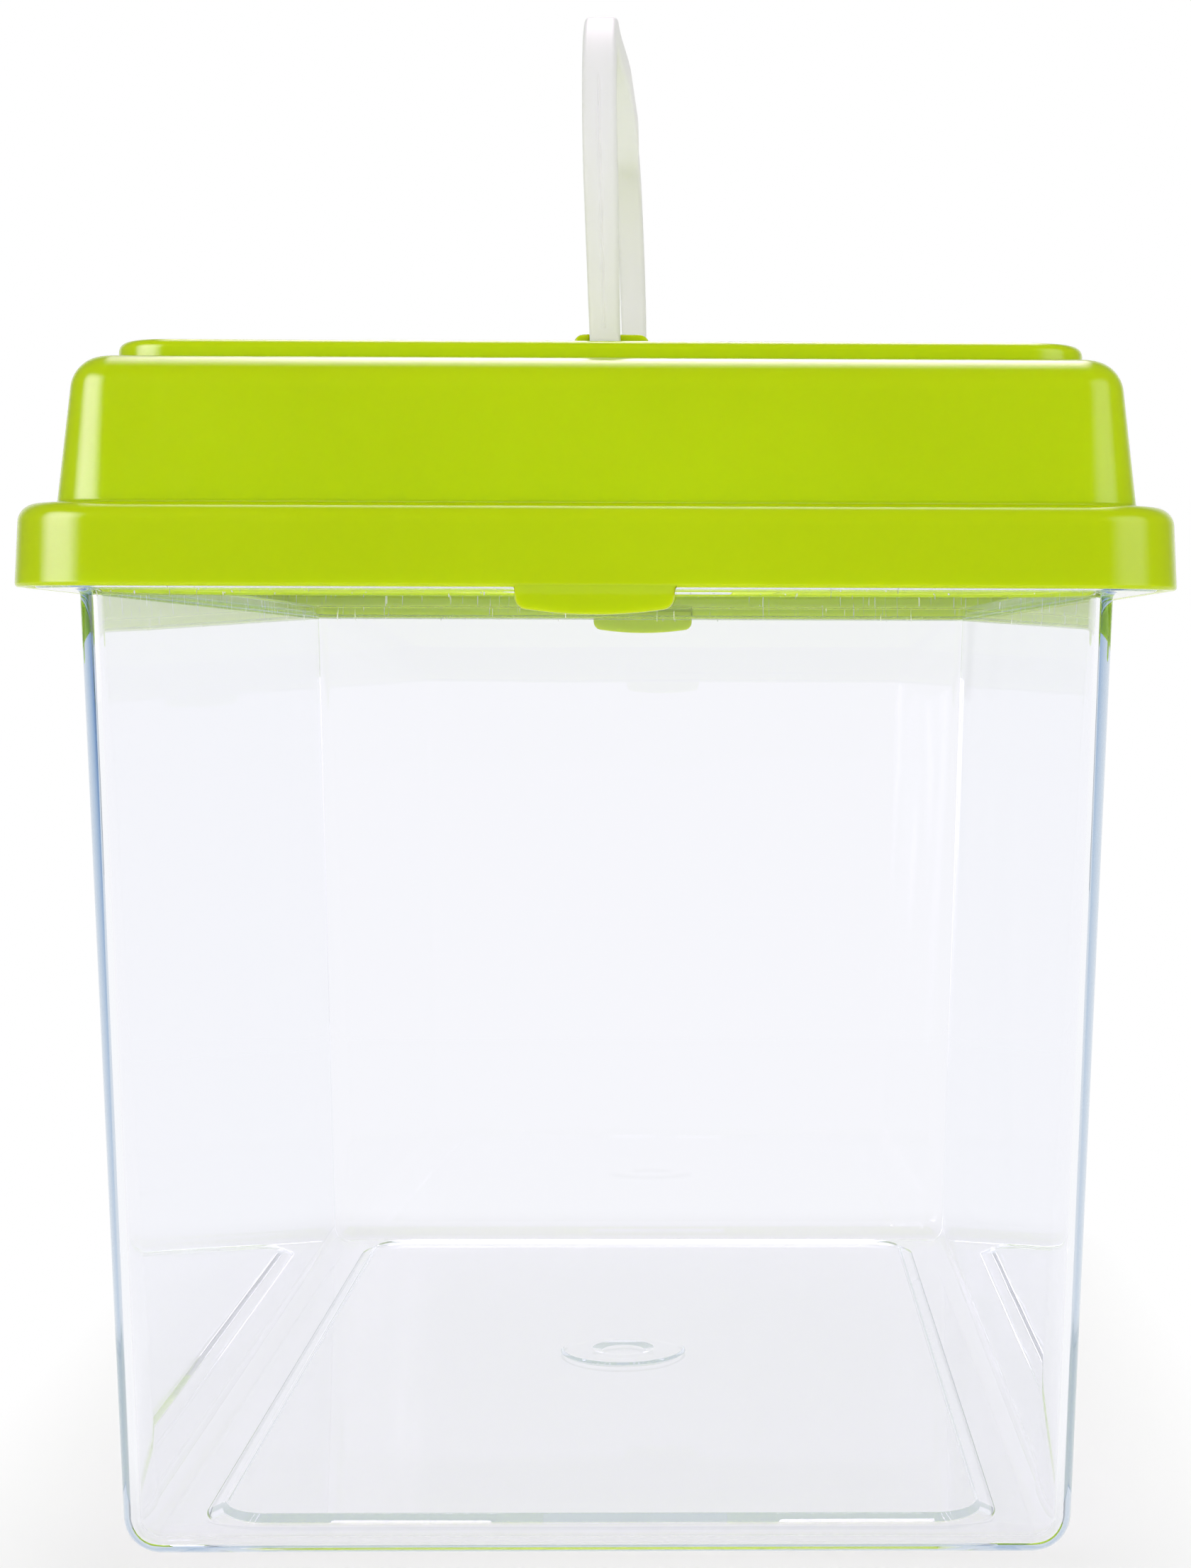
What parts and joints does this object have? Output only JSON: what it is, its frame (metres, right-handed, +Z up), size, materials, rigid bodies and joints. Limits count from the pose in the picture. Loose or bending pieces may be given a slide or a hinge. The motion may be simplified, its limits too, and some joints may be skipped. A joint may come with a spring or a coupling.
{
  "type": "plastic pet keeper",
  "caption": "Clear moulded pet keeper tank with a domed press-down lid, a clear hinged feeding hatch, vent slots and a fold-down carry handle.",
  "frame": {"origin": "under the middle of the tank, on the surface it stands on", "axes": "+X across the short side, +Y along the long side, +Z up; the handle folds down towards +X and the hatch opens towards -X"},
  "size_m": [0.153, 0.232, 0.2159],
  "materials": {
    "clear_plastic": "clear, polished mould finish",
    "lime_plastic": "gloss",
    "white_plastic": "satin gloss, faintly translucent"
  },
  "bodies": {
    "tank": {"tank": "clear_plastic"},
    "lid": {"lid": "lime_plastic"},
    "hatch": {"feeding_hatch": "clear_plastic"},
    "handle": {"carry_handle": "white_plastic"}
  },
  "joints": [
    {"name": "lid_lift", "type": "slide", "parent": "tank", "child": "lid", "axis": [0, 0, 1], "range_m": [0, 0.08]},
    {"name": "hatch_hinge", "type": "hinge", "parent": "lid", "child": "hatch", "pos_m": [-0.021, 0, 0.16315], "axis": [0, -1, 0], "range_deg": [0, 105]},
    {"name": "handle_fold", "type": "hinge", "parent": "lid", "child": "handle", "pos_m": [0, 0, 0.16475], "axis": [0, 1, 0], "range_deg": [0, 90]}
  ]
}
